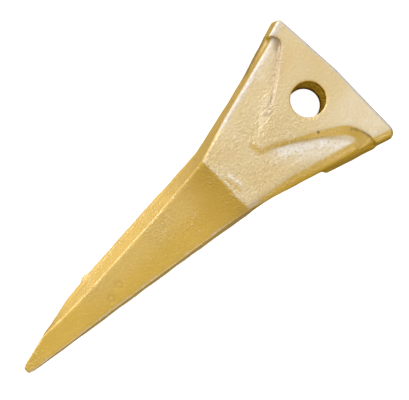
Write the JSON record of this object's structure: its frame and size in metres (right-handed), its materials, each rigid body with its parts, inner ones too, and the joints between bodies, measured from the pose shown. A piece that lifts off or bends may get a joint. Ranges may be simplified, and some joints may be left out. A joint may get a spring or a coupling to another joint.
{
  "type": "excavator bucket tooth",
  "caption": "Long side-pinned bucket tooth, a cast wedge-socket box that narrows to a slim blade and a blunt tip, with its rubber-sprung lock pin.",
  "frame": {"origin": "on the lock-pin bore's axis, in the plane of the side face that the tooth rests on", "axes": "+Z along the lock-pin bore, +X from the bore towards the tip, +Y towards the tooth's sole"},
  "size_m": [0.3189, 0.1248, 0.096],
  "materials": {
    "yellow_paint": "satin yellow paint over a sand-cast surface",
    "pin_steel": "oiled dark steel",
    "lock_rubber": "matt black",
    "button_steel": "bright steel"
  },
  "bodies": {
    "tooth": {"tooth_casting": "yellow_paint"},
    "lock_pin": {"lock_pin_body": "pin_steel", "lock_rubber": "lock_rubber"},
    "rear_button": {"rear_lock_button": "button_steel"},
    "front_button": {"front_lock_button": "button_steel"}
  },
  "joints": [
    {"name": "lock_pin_draw", "type": "slide", "parent": "tooth", "child": "lock_pin", "axis": [0, -1, 0], "range_m": [0, 0.09]},
    {"name": "rear_button_press", "type": "slide", "parent": "lock_pin", "child": "rear_button", "axis": [0, 1, 0], "range_m": [0, 0.0018], "stiffness_N_per_m": 20000},
    {"name": "front_button_press", "type": "slide", "parent": "lock_pin", "child": "front_button", "axis": [0, 1, 0], "range_m": [0, 0.0018], "stiffness_N_per_m": 20000}
  ]
}
